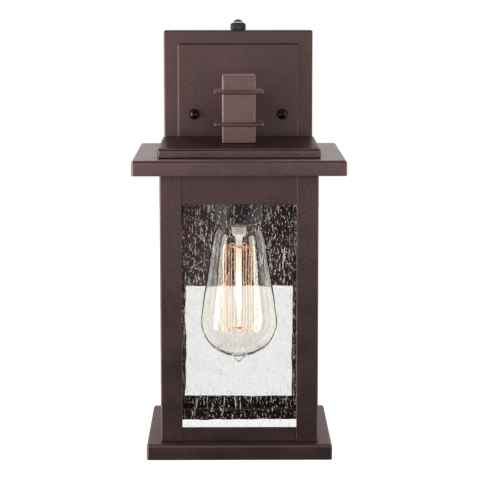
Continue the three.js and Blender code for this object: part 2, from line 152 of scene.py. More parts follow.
def make_studio():
    make_world()
    scene.view_settings.view_transform = "Standard"
    middle = (0, -0.17, -0.08)
    for name, place, width, watts, height in (
            ("near_left", (-0.22, -0.7, 0), 0.16, 0.34, 0.3),
            ("near_right", (0.22, -0.7, 0), 0.16, 0.26, 0.3),
            ("low_left", (-0.35, -0.9, -0.3), 0.3, 0.14, 0.3),
            ("low_right", (0.35, -0.9, -0.3), 0.3, 0.07, 0.3),
            ("front", (0, -1.9, 0.25), 0.8, 2.1, 0.6)):
        light = soft_light(name, place, middle, width, watts, height)
        light.visible_transmission = False
    away, tall = 0.7, 0.9  # of the strips
    for name, degrees, width, watts in (("strip_left", -66, 0.4, 6.2), ("strip_right", 65, 0.12, 1.8)):
        angle = math.radians(degrees)
        place = (away * math.sin(angle), AXIS_Y - away * math.cos(angle), -0.05)
        soft_light(name, place, (0, AXIS_Y, -0.09), width, watts, tall)
    make_lamp_glow()

    level, half = base_low.z - 1.2, 12
    corners = ((-half, -half), (half, -half), (half, half), (-half, half))
    floor = skin("floor", [[Vector((x, y, level)) for x, y in corners]])
    floor.data.materials.append(floor_paint())
    for ray in ("diffuse", "glossy", "transmission", "shadow"):
        setattr(floor, "visible_" + ray, False)


# ---- Meshes ----
def skin(name, loops, ring=False):
    """A surface over loops of equal count, each a list of points. A one-point loop is a pole. The
    ends are closed with faces, or joined to each other where it is a ring. Loops that go round
    anticlockwise and upwards face out."""
    bm = bmesh.new()
    rows = [[bm.verts.new(p) for p in loop] for loop in loops]
    pairs = list(zip(rows, rows[1:]))
    if ring:
        pairs.append((rows[-1], rows[0]))
    for low, high in pairs:
        count = max(len(low), len(high))
        for j in range(count):
            k = (j + 1) % count
            if len(low) == 1:
                bm.faces.new((low[0], high[k], high[j]))
            elif len(high) == 1:
                bm.faces.new((low[j], low[k], high[0]))
            else:
                bm.faces.new((low[j], low[k], high[k], high[j]))
    if not ring:
        if len(rows[-1]) > 2:
            bm.faces.new(rows[-1])
        if len(rows) > 1 and len(rows[0]) > 2:
            bm.faces.new(reversed(rows[0]))
    return to_object(name, bm)


def to_object(name, bm):
    mesh = bpy.data.meshes.new(name)
    bm.to_mesh(mesh)
    bm.free()
    piece = bpy.data.objects.new(name, mesh)
    scene.collection.objects.link(piece)
    return piece


def soften(piece, degrees):
    """Round shading across edges gentler than the angle."""
    mesh = piece.data
    mesh.polygons.foreach_set("use_smooth", [True] * len(mesh.polygons))
    mesh.set_sharp_from_angle(angle=math.radians(degrees))


def smooth(piece, degrees=38):
    """Round shading across soft edges, with flat faces kept flat by area weights."""
    soften(piece, degrees)
    weights = piece.modifiers.new("flat faces", "WEIGHTED_NORMAL")
    weights.keep_sharp = True
    return piece


def settle(piece, material, slot, *stands_for, body="fixture"):
    """Gives a finished piece its material and its body, and hides the CAD nodes it stands for. slot is
    not used.
    """
    piece.data.materials.append(material)
    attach(piece, body)
    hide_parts(*stands_for)


def round_rectangle(half_u, half_v, radius, steps=5):
    points = []
    for k, (side_u, side_v) in enumerate(((1, -1), (1, 1), (-1, 1), (-1, -1))):
        for i in range(steps + 1):
            angle = math.radians(90 * (k - 1) + 90 * i / steps)
            points.append((side_u * (half_u - radius) + radius * math.cos(angle),
                           side_v * (half_v - radius) + radius * math.sin(angle)))
    return points


def arc(centre_u, centre_v, radius, start, end, steps=4):
    angles = [math.radians(start + (end - start) * i / steps) for i in range(steps + 1)]
    return [(centre_u + radius * math.cos(a), centre_v + radius * math.sin(a)) for a in angles]


def square_loop(half, level, radius):
    """A rounded square round the lantern's axis."""
    return [Vector((AXIS_X + u, AXIS_Y + v, level)) for u, v in round_rectangle(half, half, radius)]


def wall_loop(half_u, half_v, depth, radius, middle):
    """A rounded rectangle parallel to the wall, depth off it."""
    return [Vector((middle[0] + u, -depth, middle[1] + v))
            for u, v in round_rectangle(half_u, half_v, radius)]


def turned(name, profile, centre, segments=48, ring=False, along=None, radius=None):
    """A profile of (radius, height) turned round a line up through centre, or towards the front
    with along="front". radius(r, height, angle) may shape it further."""
    loops = []
    for r, z in profile:
        count = 1 if r == 0 else segments
        loop = []
        for i in range(count):
            angle = 2 * math.pi * i / segments
            reach = radius(r, z, angle) if radius and r else r
            u, v = reach * math.cos(angle), reach * math.sin(angle)
            offset = Vector((u, -z, v)) if along == "front" else Vector((u, v, z))
            loop.append(Vector(centre) + offset)
        loops.append(loop)
    return skin(name, loops, ring)


def curve_points(points, per_span):
    """Points on a smooth curve through the given ones."""
    ends = [points[0] * 2 - points[1], *points, points[-1] * 2 - points[-2]]
    out = []
    for a, b, c, d in zip(ends, ends[1:], ends[2:], ends[3:]):
        for i in range(per_span):
            t = i / per_span
            out.append(0.5 * (2 * b + (c - a) * t + (2 * a - 5 * b + 4 * c - d) * t * t
                              + (3 * b - a - 3 * c + d) * t ** 3))
    out.append(points[-1])
    return out


def tube(name, path, radius, sides=6):
    """A round wire along the path, without twist."""
    loops = []
    across = None
    for i, p in enumerate(path):
        ahead = (path[min(i + 1, len(path) - 1)] - path[max(i - 1, 0)]).normalized()
        if across is None:
            across = ahead.orthogonal().normalized()
        across = (across - ahead * across.dot(ahead)).normalized()
        up = ahead.cross(across)
        loops.append([p + radius * (math.cos(a) * across + math.sin(a) * up)
                      for a in (2 * math.pi * k / sides for k in range(sides))])
    return skin(name, loops)


def joined(name, pieces):
    """One object from several."""
    bm = bmesh.new()
    for piece in pieces:
        bm.from_mesh(piece.data)
        bpy.data.objects.remove(piece)
    return to_object(name, bm)


# ---- Materials ----
def new_material(name):
    material = bpy.data.materials.new(name)
    material.use_nodes = True
    tree = material.node_tree
    shader = tree.nodes["Principled BSDF"]
    return material, tree, shader


def texture(tree, scale, detail=2.0, roughness=0.5, stretch=(1, 1, 1)):
    """Noise over the object's own coordinates, in waves per metre."""
    place = tree.nodes.new("ShaderNodeTexCoord")
    mapping = tree.nodes.new("ShaderNodeMapping")
    mapping.inputs["Scale"].default_value = stretch
    wave = tree.nodes.new("ShaderNodeTexNoise")
    wave.inputs["Scale"].default_value = scale
    wave.inputs["Detail"].default_value = detail
    wave.inputs["Roughness"].default_value = roughness
    tree.links.new(place.outputs["Object"], mapping.inputs["Vector"])
    tree.links.new(mapping.outputs["Vector"], wave.inputs["Vector"])
    return wave.outputs["Fac"]


def ramp(tree, source, low, high, at=(0.35, 0.65)):
    """Numbers or colours from low to high as the source goes between two levels."""
    node = tree.nodes.new("ShaderNodeValToRGB")
    for element, level, value in zip(node.color_ramp.elements, at, (low, high)):
        element.position = level
        element.color = (*value, 1) if isinstance(value, tuple) else (value, value, value, 1)
    tree.links.new(source, node.inputs["Fac"])
    return node.outputs["Color"]


def mixed(tree, factor, low, high):
    node = tree.nodes.new("ShaderNodeMix")
    node.data_type = "RGBA"
    tree.links.new(factor, node.inputs["Factor"])
    for value, socket in ((low, node.inputs["A"]), (high, node.inputs["B"])):
        if isinstance(value, tuple):
            socket.default_value = (*value, 1)
        else:
            tree.links.new(value, socket)
    return node.outputs["Result"]


def rough_bump(tree, shader, source, distance, strength, before=None):
    node = tree.nodes.new("ShaderNodeBump")
    node.inputs["Distance"].default_value = distance
    node.inputs["Strength"].default_value = strength
    tree.links.new(source, node.inputs["Height"])
    if before:
        tree.links.new(before.outputs["Normal"], node.inputs["Normal"])
    tree.links.new(node.outputs["Normal"], shader.inputs["Normal"])
    return node


def paint(name, dark, light, fleck, roughness=(0.4, 0.48), slant=(1, 1, 1)):
    """Satin metallic bronze paint: mottled, with fine lighter flecks and a slight orange peel. slant
    tints what it mirrors at a slant; a grey slant is painted shade on faces seen at a slant."""
    material, tree, shader = new_material(name)
    mottle = texture(tree, 38, 5, 0.6)
    grain = texture(tree, 1500, 2)
    flecks = texture(tree, 1300, 2)
    ground = ramp(tree, mottle, dark, light)
    speckled = mixed(tree, ramp(tree, flecks, 0.0, 1.0, (0.5, 0.75)), ground, fleck)
    tree.links.new(speckled, shader.inputs["Base Color"])
    tree.links.new(ramp(tree, mottle, *roughness), shader.inputs["Roughness"])
    peel = rough_bump(tree, shader, texture(tree, 420, 1), 0.0001, 0.6)
    rough_bump(tree, shader, grain, 0.00002, 0.5, before=peel)
    shader.inputs["Metallic"].default_value = 1.0
    shader.inputs["Specular Tint"].default_value = (*slant, 1)
    return material


def metal(name, dark, light, roughness=(0.25, 0.45)):
    """Bare or plated metal."""
    material, tree, shader = new_material(name)
    tone = texture(tree, 300, 4, 0.6)
    tree.links.new(ramp(tree, tone, dark, light), shader.inputs["Base Color"])
    tree.links.new(ramp(tree, tone, *roughness), shader.inputs["Roughness"])
    shader.inputs["Metallic"].default_value = 1.0
    rough_bump(tree, shader, tone, 0.00003, 0.4)
    return material


def moulding(name, dark, light, roughness):
    """Moulded plastic, rubber or insulation."""
    material, tree, shader = new_material(name)
    tone = texture(tree, 500, 3)
    tree.links.new(ramp(tree, tone, dark, light), shader.inputs["Base Color"])
    tree.links.new(ramp(tree, tone, *roughness), shader.inputs["Roughness"])
    rough_bump(tree, shader, tone, 0.00002, 0.4)
    return material


def clear_to_lamps(tree, surface, clear):
    """Puts out the surface's shader, and the clear one where a lamp shines through."""
    path = tree.nodes.new("ShaderNodeLightPath")
    mix = tree.nodes.new("ShaderNodeMixShader")
    tree.links.new(path.outputs["Is Shadow Ray"], mix.inputs["Fac"])
    tree.links.new(surface, mix.inputs[1])
    tree.links.new(clear.outputs["BSDF"], mix.inputs[2])
    tree.links.new(mix.outputs["Shader"], tree.nodes["Material Output"].inputs["Surface"])


def glass(name, tint, shade, roughness=(0.0, 0.02), ripple=(90, 0.00005), rim=None,
          stretch=(1, 1, 1), shadow=None):
    """Clear glass that lets lamps through, with a tint that varies and deepens at the rim, and a
    faint ripple."""
    material, tree, shader = new_material(name)
    tone = texture(tree, 45, 3)
    body = ramp(tree, tone, tint, shade)
    if rim:
        grazing = tree.nodes.new("ShaderNodeLayerWeight")
        grazing.inputs["Blend"].default_value = 0.5
        body = mixed(tree, ramp(tree, grazing.outputs["Facing"], 0.0, 1.0, (0.72, 0.97)), body, rim)
    tree.links.new(body, shader.inputs["Base Color"])
    tree.links.new(ramp(tree, tone, *roughness), shader.inputs["Roughness"])
    shader.inputs["IOR"].default_value = 1.5
    shader.inputs["Transmission Weight"].default_value = 1.0
    scale, depth = ripple
    rough_bump(tree, shader, texture(tree, scale, 1, stretch=stretch), depth, 1.0)
    clear = tree.nodes.new("ShaderNodeBsdfTransparent")
    clear.inputs["Color"].default_value = (*(shadow or tint), 1)
    clear_to_lamps(tree, shader.outputs["BSDF"], clear)
    return material


def glint_scatter(name, low, high, cover, through):
    """A white scatter that hides more of what is behind it where it is seen at a slant, with painted
    highlights for the glints of the air in the panes' seeds and of the clear glass stem. through is the
    share of light that comes from behind. It casts no shadow."""
    material = bpy.data.materials.new(name)
    material.use_nodes = True
    tree = material.node_tree
    tree.nodes.remove(tree.nodes["Principled BSDF"])
    colour = ramp(tree, texture(tree, 700, 2), low, high)
    front = tree.nodes.new("ShaderNodeBsdfDiffuse")
    back = tree.nodes.new("ShaderNodeBsdfTranslucent")
    both = tree.nodes.new("ShaderNodeMixShader")
    both.inputs["Fac"].default_value = through
    for number, node in enumerate((front, back), 1):
        tree.links.new(colour, node.inputs["Color"])
        tree.links.new(node.outputs["BSDF"], both.inputs[number])
    clear = tree.nodes.new("ShaderNodeBsdfTransparent")
    grazing = tree.nodes.new("ShaderNodeLayerWeight")
    grazing.inputs["Blend"].default_value = 0.5
    mix = tree.nodes.new("ShaderNodeMixShader")
    tree.links.new(ramp(tree, grazing.outputs["Facing"], *cover, (0.0, 0.9)), mix.inputs["Fac"])
    tree.links.new(clear.outputs["BSDF"], mix.inputs[1])
    tree.links.new(both.outputs["Shader"], mix.inputs[2])
    clear_to_lamps(tree, mix.outputs["Shader"], clear)
    return material


def glow(name, cool, hot, strength):
    """A hot wire that shines."""
    material, tree, shader = new_material(name)
    tone = texture(tree, 120, 2)
    colour = ramp(tree, tone, cool, hot)
    tree.links.new(colour, shader.inputs["Base Color"])
    tree.links.new(colour, shader.inputs["Emission Color"])
    shader.inputs["Emission Strength"].default_value = strength
    tree.links.new(ramp(tree, tone, 0.5, 0.7), shader.inputs["Roughness"])
    return material


def floor_paint():
    """A pale floor, brightened by a little light of its own."""
    material, tree, shader = new_material("floor_paint")
    tone = texture(tree, 3, 4)
    tree.links.new(ramp(tree, tone, (0.9, 0.9, 0.9), (0.93, 0.93, 0.93)), shader.inputs["Base Color"])
    shader.inputs["Roughness"].default_value = 0.8
    shader.inputs["Emission Color"].default_value = (1, 1, 1, 1)
    shader.inputs["Emission Strength"].default_value = 0.58
    return material


# ---- Painted metal ----
def pan(name, node, opening, material):
    """A square pan open underneath, with rounded edges and an opening in its top sheet."""
    low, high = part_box(node)
    half = (high.x - low.x) / 2
    edge, corner, lip = 2.5 * MM, 2.2 * MM, 0.4 * MM
    inner = half - SHEET
    profile = [(half - lip, low.z), (half, low.z + lip)]
    profile += arc(half - edge, high.z - edge, edge, 0, 90)
    profile += [(opening + lip, high.z), (opening, high.z - lip), (opening, high.z - SHEET)]
    profile += [(inner - lip, high.z - SHEET), (inner, high.z - SHEET - lip)]
    profile += [(inner, low.z + lip), (inner + lip, low.z)]
    loops = [square_loop(h, z, max(0.5 * MM, corner - (half - h))) for h, z in profile]
    settle(smooth(skin(name, loops, ring=True)), material, "bronze_paint", node)


def make_posts():
    """The corner posts: right-angle sections with a rounded outer edge."""
    low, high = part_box("corner_post_front_right")
    outer_x, outer_y = high.x - AXIS_X, low.y - AXIS_Y
    leg = high.x - low.x
    wall, nose, tip = 2.5 * MM, 1.5 * MM, 0.55 * MM
    outline = [
        *arc(outer_x - leg + tip, outer_y + tip, tip, 180, 270),
        *arc(outer_x - nose, outer_y + nose, nose, -90, 0, 6),
        *arc(outer_x - tip, outer_y + leg - tip, tip, 0, 90),
        *arc(outer_x - wall + tip, outer_y + leg - tip, tip, 90, 180),
        (outer_x - wall, outer_y + wall),
        *arc(outer_x - leg + tip, outer_y + wall - tip, tip, 90, 180),
    ]
    centre = Vector((AXIS_X, AXIS_Y, 0))
    for turns, corner in enumerate(CORNERS):
        node = f"corner_post_{corner}"
        turn = Matrix.Rotation(turns * math.pi / 2, 3, "Z")
        loops = [[centre + turn @ Vector((u, v, 0)) + Vector((0, 0, z)) for u, v in outline]
                 for z in (low.z, high.z)]
        settle(smooth(skin(corner + "_post", loops)), bronze, "bronze_paint", node)


def make_rails():
    """Flat rails between the posts, with eased edges."""
    for level in ("bottom", "top"):
        low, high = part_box(f"{level}_rail_front")
        face, back = low.y - AXIS_Y, high.y - AXIS_Y
        ease = 0.5 * MM
        section = [
            *arc(face + ease, low.z + ease, ease, 180, 270),
            *arc(back - ease, low.z + ease, ease, -90, 0),
            *arc(back - ease, high.z - ease, ease, 0, 90),
            *arc(face + ease, high.z - ease, ease, 90, 180),
        ]
        half = (high.x - low.x) / 2 + 0.5 * MM
        for turns, side in enumerate(SIDES):
            turn = Matrix.Rotation(turns * math.pi / 2, 3, "Z")
            centre = Vector((AXIS_X, AXIS_Y, 0))
            loops = [[centre + turn @ Vector((u, y, 0)) + Vector((0, 0, z)) for y, z in section]
                     for u in (-half, half)]
            piece = smooth(skin(f"{level}_rail_{side}_sheet", loops))
            settle(piece, bronze, "bronze_paint", f"{level}_rail_{side}")


def make_back_plate():
    """A pressed tray, its open side to the wall, with a raised panel."""
    low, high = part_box("back_plate")
    middle = ((low.x + high.x) / 2, (low.z + high.z) / 2)
    rim, face = -high.y, -low.y
    panel_rise, side_flange, end_flange = 4 * MM, 12.2 * MM, 11.65 * MM
    flange = face - panel_rise
    half_u, half_v = (high.x - low.x) / 2, (high.z - low.z) / 2
    panel_u, panel_v = half_u - side_flange, half_v - end_flange
    edge, fillet, crest = 1.4 * MM, 0.5 * MM, 1.3 * MM
    rows = [(-SHEET, face - SHEET, "panel"), (-SHEET, flange - SHEET, "panel")]
    rows += [(-SHEET, flange - SHEET, "tray"), (-SHEET, rim, "tray"), (0, rim, "tray")]
    rows += [(u, w, "tray") for u, w in arc(-edge, flange - edge, edge, 0, 90)]
    rows += [(u, w, "panel") for u, w in arc(fillet, flange + fillet, fillet, -90, -180)]
    rows += [(u, w, "panel") for u, w in arc(-crest, face - crest, crest, 0, 90, 5)]
    loops = []
    for grow, depth, kind in rows:
        u, v = (half_u, half_v) if kind == "tray" else (panel_u, panel_v)
        corner = max(0.5 * MM, 1.6 * MM + grow)
        loops.append(wall_loop(u + grow, v + grow, depth, corner, middle))
    settle(smooth(skin("plate", loops)), bronze, "bronze_paint", "back_plate")


def make_arm():
    """The upright post, the level tube behind it and the two fins round the post."""
    low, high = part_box("arm_post")
    half = (high.x - low.x) / 2
    corner, edge = 1.6 * MM, 0.8 * MM
    profile = [(half - 0.3 * MM, low.z), (half, low.z + 0.3 * MM)]
    profile += arc(half - edge, high.z - edge, edge, 0, 90, 5)
    loops = [square_loop(h, z, max(0.8 * MM, corner - (half - h))) for h, z in profile]
    settle(smooth(skin("post", loops)), bronze_lit_arm, "bronze_paint", "arm_post")

    low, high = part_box("arm_tube")
    half = (high.x - low.x) / 2
    middle = (0, (low.z + high.z) / 2)
    loops = [wall_loop(half, half, -y, 1.6 * MM, middle) for y in (high.y, low.y)]
    settle(smooth(skin("level_tube", loops)), bronze_lit_arm, "bronze_paint", "arm_tube")

    for node in ("fin_lower", "fin_upper"):
        low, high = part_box(node)
        half, ease, hole = (high.x - low.x) / 2, 0.7 * MM, 14.15 * MM
        profile = arc(half - ease, low.z + ease, ease, -90, 0)
        profile += arc(half - ease, high.z - ease, ease, 0, 90)
        profile += [(hole, high.z), (hole, low.z)]
        loops = [square_loop(h, z, max(0.8 * MM, 1.2 * MM - (half - h))) for h, z in profile]
        settle(smooth(skin(node + "_plate", loops, ring=True)), bronze_lit_roof, "bronze_paint", node)


def make_ball_nuts():
    for side in ("left", "right"):
        low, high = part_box(f"ball_nut_{side}")
        centre = ((low.x + high.x) / 2, high.y, (low.z + high.z) / 2)
        radius = (high.x - low.x) / 2
        waist = 3.7 * MM
        profile = [(0, 0), (waist, 0), (waist, 0.9 * MM)]
        profile += arc(0, radius, radius, -38, 74, 14)
        profile += [(1.0 * MM, radius + 3.9 * MM), (0, radius + 3.7 * MM)]  # a dimple in the tip
        piece = turned(f"cap_nut_{side}", profile, centre, 40, along="front")
        settle(smooth(piece, 50), dark_bronze, "bronze_paint", f"ball_nut_{side}")


# ---- Photocell ----
def make_photocell():
    low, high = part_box("photocell_nut")
    centre = ((low.x + high.x) / 2, (low.y + high.y) / 2, low.z)
    ribs, rib_depth, sleeve = 26, 0.25 * MM, 6.2 * MM
    outer = (high.x - low.x) / 2 - rib_depth
    height = high.z - low.z
    shoulder = height - 1.5 * MM

    def ribbed(r, z, angle):
        held = 1 if z < shoulder + 0.1 * MM and r > sleeve else 0
        return r + held * rib_depth * math.cos(ribs * angle)

    profile = [(5.4 * MM, 0), (outer - 0.2 * MM, 0), (outer, 0.4 * MM), (outer, shoulder)]
    profile += [(6.0 * MM, height - 0.5 * MM), (5.7 * MM, height), (5.4 * MM, height)]
    piece = turned("knurled_nut", profile, centre, ribs * 8, ring=True, radius=ribbed)
    settle(smooth(piece, 50), black_plastic, "black_moulding", "photocell_nut")

    low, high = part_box("photocell_lens")
    radius = (high.x - low.x) / 2
    top = high.z - low.z
    dome = 2.6 * MM
    profile = [(0, 0), (radius, 0), (radius, top - dome)]
    profile += [(radius * math.cos(a), top - dome + dome * math.sin(a))
                for a in (math.radians(10 * k) for k in range(1, 9))]
    profile += [(0, top)]
    piece = turned("sensor_dome", profile, (centre[0], centre[1], low.z), 40)
    settle(smooth(piece, 50), lens_glass, "sensor_lens", "photocell_lens")


# ---- Seeded glass ----
def seed(rows, faces, centre, radius, length, lean, rings=4, sides=6):
    """Adds the points and faces of one long bubble."""
    first = len(rows)
    rows.append(centre - lean * length)
    for i in range(1, rings):
        t = math.pi * i / rings
        swell, rise = radius * math.sin(t), -math.cos(t) * length
        for k in range(sides):
            a = 2 * math.pi * k / sides
            rows.append(centre + Vector((swell * math.cos(a), swell * math.sin(a), 0)) + lean * rise)
    rows.append(centre + lean * length)
    last = len(rows) - 1
    for k in range(sides):
        n = (k + 1) % sides
        faces.append((first, first + 1 + n, first + 1 + k))
        faces.append((last, last - sides + k, last - sides + n))
        for i in range(rings - 2):
            low = first + 1 + i * sides
            faces.append((low + k, low + n, low + sides + n, low + sides + k))


def seed_size(draw):
    """Radius and half length of a seed: round ones, streaks and a few long ones."""
    kind = draw.random()
    if kind < 0.5:
        radius = draw.uniform(0.12, 0.32) * MM
        return radius, radius * draw.uniform(1, 1.7)
    if kind < 0.95:
        return draw.uniform(0.1, 0.22) * MM, draw.uniform(0.5, 1.5) * MM
    return draw.uniform(0.15, 0.26) * MM, draw.uniform(2.0, 4.6) * MM


def make_pane(side, turns, count, draw):
    """A pane with rippled faces and many small long seeds, drawn as the front one and turned into
    place."""
    low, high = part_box(f"glass_{side}")
    width = max(high.x - low.x, high.y - low.y)
    thick = min(high.x - low.x, high.y - low.y)
    face = max(high.x - AXIS_X, AXIS_X - low.x, high.y - AXIS_Y, AXIS_Y - low.y)
    turn = Matrix.Rotation(turns * math.pi / 2, 3, "Z")
    centre = Vector((AXIS_X, AXIS_Y, 0))
    columns, rows = 56, 80
    ripple, margin = 0.06 * MM, 0.07 * MM
    offset = Vector((turns * 3.1, 7.7, 1.3))

    def wave(u, z, layer):
        at = Vector((u * 110, layer * 5.0, z * 60)) + offset
        return ripple * noise.noise(at)

    points = []
    faces = []
    for layer, depth in ((0, -face + margin), (1, thick - face - margin)):
        for i in range(columns + 1):
            for j in range(rows + 1):
                u = width * (i / columns - 0.5)
                z = low.z + (high.z - low.z) * j / rows
                flat = Vector((u, depth + wave(u, z, layer), 0))
                points.append(centre + turn @ flat + Vector((0, 0, z)))

    def number(layer, i, j):
        return (layer * (columns + 1) + i) * (rows + 1) + j

    for i in range(columns):
        for j in range(rows):
            corners = ((i, j), (i + 1, j), (i + 1, j + 1), (i, j + 1))
            faces.append([number(0, a, b) for a, b in corners])
            faces.append([number(1, a, b) for a, b in reversed(corners)])
    border = [(i, 0) for i in range(columns)] + [(columns, j) for j in range(rows)]
    border += [(i, rows) for i in range(columns, 0, -1)] + [(0, j) for j in range(rows, 0, -1)]
    for a, b in zip(border, border[1:] + border[:1]):
        faces.append((number(0, *a), number(1, *a), number(1, *b), number(0, *b)))
    sheet_faces = len(faces)
    for _ in range(count):
        radius, length = seed_size(draw)
        u = draw.uniform(-0.49, 0.49) * width
        z = draw.uniform(low.z + 5 * MM, high.z - 5 * MM)
        room = thick / 2 - radius - 2 * margin
        depth = thick / 2 - face + draw.uniform(-room, room)
        lean = Vector((draw.gauss(0, 0.06), 0, 1)).normalized()
        seed(points, faces, centre + turn @ Vector((u, depth, 0)) + Vector((0, 0, z)), radius, length,
             turn @ lean)
    mesh = bpy.data.meshes.new(f"seeded_pane_{side}")
    mesh.from_pydata(points, [], faces)
    piece = bpy.data.objects.new(f"seeded_pane_{side}", mesh)
    scene.collection.objects.link(piece)
    soften(piece, 60)
    settle(piece, pane_glass, "seeded_glass", f"glass_{side}")
    mesh.materials.append(seed_glint)
    mesh.polygons.foreach_set("material_index", [int(i >= sheet_faces) for i in range(len(faces))])


# ---- Lamp holder and bulb ----
def make_socket():
    """The lamp holder: a moulded cup with a wire hole in its top."""
    low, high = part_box("socket_body")
    centre = (AXIS_X, AXIS_Y, low.z)
    radius, height = (high.x - low.x) / 2, high.z - low.z
    edge, bore, wire_hole, bore_top = 4.4 * MM, 14.6 * MM, 5.4 * MM, 33 * MM
    profile = [(bore, 29 * MM), (bore, 0.4 * MM), (bore + 0.3 * MM, 0)]
    profile += [(radius - edge + edge * math.sin(a), edge - edge * math.cos(a))
                for a in (math.radians(11.25 * k) for k in range(9))]
    profile += [(radius, height - 7 * MM), (radius - 0.6 * MM, height - 6 * MM)]
    profile += [(12 * MM, height - 0.5 * MM), (11 * MM, height), (wire_hole, height)]
    profile += [(wire_hole, bore_top), (bore, bore_top)]
    piece = turned("lamp_holder", profile, centre, 64, ring=True)
    settle(smooth(piece), black_gloss, "black_moulding", "socket_body")


def threaded(name, foot, head, radius, depth, pitch, centre, caps):
    """A screw thread rolled into a shell: a right-handed wave round it that fades at its ends."""
    steps = 72
    fade = pitch * 0.8

    def rolled(r, z, angle):
        if not foot < z < head:
            return r
        ease = min(1.0, (z - foot) / fade, (head - z) / fade)
        return r + depth * ease * math.cos(2 * math.pi * z / pitch - angle)

    span = [(radius, foot + (head - foot) * i / steps) for i in range(steps + 1)]
    before, after = caps
    return turned(name, [*before, *span, *after], centre, radius=rolled)


def make_bulb_cap():
    low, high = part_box("bulb_cap")
    centre = (AXIS_X, AXIS_Y, low.z)
    tall = high.z - low.z
    rim = (high.x - low.x) / 2
    before = [(0, 1.2 * MM), (rim - 0.7 * MM, 1.2 * MM), (rim - 0.4 * MM, 0), (rim, 0.2 * MM),
              (rim, 1.6 * MM)]
    after = [(rim - 1.0 * MM, tall - 2.4 * MM), (11.4 * MM, tall - 0.1 * MM), (10.6 * MM, tall),
             (0, tall)]
    piece = threaded("screw_shell", 2.2 * MM, tall - 2.9 * MM, rim - 0.42 * MM, 0.4 * MM,
                     3.629 * MM, centre, (before, after))
    settle(smooth(piece, 50), cap_metal, "cap_metal", "bulb_cap", body="bulb")


def bulb_outline():
    """Radius and height of the bulb's glass from its tip to its neck, above the base's top, mm."""
    return [(0, 53.7), (1.5, 54.3), (4.7, 57.1), (8.1, 59.7), (14, 61.8), (22.6, 67.2), (28.4, 75),
            (31.4, 83), (32.1, 89), (31.2, 98), (29.3, 111), (27.2, 124), (24.4, 144), (22.8, 155),
            (21.4, 161.5), (19.9, 165.4), (18.1, 168.4), (15.6, 170.6), (12.1, 171.4)]


def make_bulb_glass():
    """The glass, with a wall that thickens towards its tip."""
    points = [Vector((r * MM, z * MM, 0)) for r, z in bulb_outline()]
    smooth_line = curve_points(points, 5)
    wall, tip = 0.8 * MM, bulb_outline()[0][1]
    outside, inside = [], []
    for i, p in enumerate(smooth_line):
        ahead = smooth_line[min(i + 1, len(smooth_line) - 1)] - smooth_line[max(i - 1, 0)]
        normal = Vector((ahead.y, -ahead.x, 0)).normalized()
        outside.append((max(p.x, 0), p.y))
        deep = wall * (1 + 0.9 * max(0, 1 - (p.y / MM - tip) / 16))
        inside.append((max(p.x - deep * normal.x, 0), p.y - deep * normal.y))
    outside[0] = (0, outside[0][1])
    keep = [p for p in inside if p[0] > 0.9 * MM]
    neck = [(12.0 * MM, 177.6 * MM), (11.2 * MM, 177.6 * MM)]
    profile = [*outside, *neck, *reversed(keep), (0, min(p[1] for p in keep))]
    centre = (AXIS_X, AXIS_Y, base_high.z)
    piece = turned("bulb_envelope", profile, centre, 96)
    soften(piece, 60)
    settle(piece, amber_glass, "bulb_glass", "bulb_glass", body="bulb")


def make_stem():
    """The glass stem that holds the supports, with a flare at its top."""
    low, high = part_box("bulb_stem")
    centre = (AXIS_X, AXIS_Y, 0)
    top, base = high.z, base_high.z
    flare = 9.8 * MM
    outline = [(0, low.z), (0.5 * MM, low.z + 0.3 * MM), (0.75 * MM, low.z + 1.2 * MM)]
    outline += [(r * MM, base + z * MM) for r, z in (
        (0.8, 90), (1.5, 93.5), (1.75, 97), (1.75, 116), (2.4, 119.5), (2.45, 156), (3.2, 160),
        (5.4, 161.8), (6.2, 163.6), (6.2, 170.5), (6.9, 173))]
    profile = [*outline, (flare, top - 2.4 * MM), (flare, top), (0, top)]
    piece = turned("glass_stem", profile, centre, 32)
    settle(smooth(piece, 60), stem_glint, "clear_glass", "bulb_stem", body="bulb")


def make_supports():
    """Wire stars on the stem that hold the filament's loops, one drooping and one rising."""
    wall, half, wire = 0.5 * MM, 0.9 * MM, 0.16 * MM
    for level, hub, droop, hook_rise in (("lower", 1.9 * MM, -1.8 * MM, 0.9 * MM),
                                         ("upper", 3.6 * MM, 1.2 * MM, -0.9 * MM)):
        node = f"filament_support_{level}"
        low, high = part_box(node)
        reach = (high.x - low.x) / 2 * 1.04
        centre = Vector((AXIS_X, AXIS_Y, high.z - 1 * MM))
        inner, outer = hub - wall, hub + 0.4 * MM
        profile = [(inner, -half), (outer, -half), (outer, half), (inner, half)]
        pieces = [turned("hub", profile, centre, 20, ring=True)]
        for k in range(LOOPS):
            angle = 2 * math.pi * (k + 0.5) / LOOPS
            out = Vector((math.cos(angle), math.sin(angle), 0))
            path = [centre + out * hub, centre + out * (reach * 0.55) + Vector((0, 0, droop * 0.25)),
                    centre + out * reach + Vector((0, 0, droop)),
                    centre + out * (reach + 0.6 * MM) + Vector((0, 0, droop + hook_rise))]
            pieces.append(tube("arm", curve_points(path, 4), wire))
        piece = smooth(joined(f"wire_star_{level}", pieces), 60)
        settle(piece, wire_metal, "support_wire", node, body="bulb")


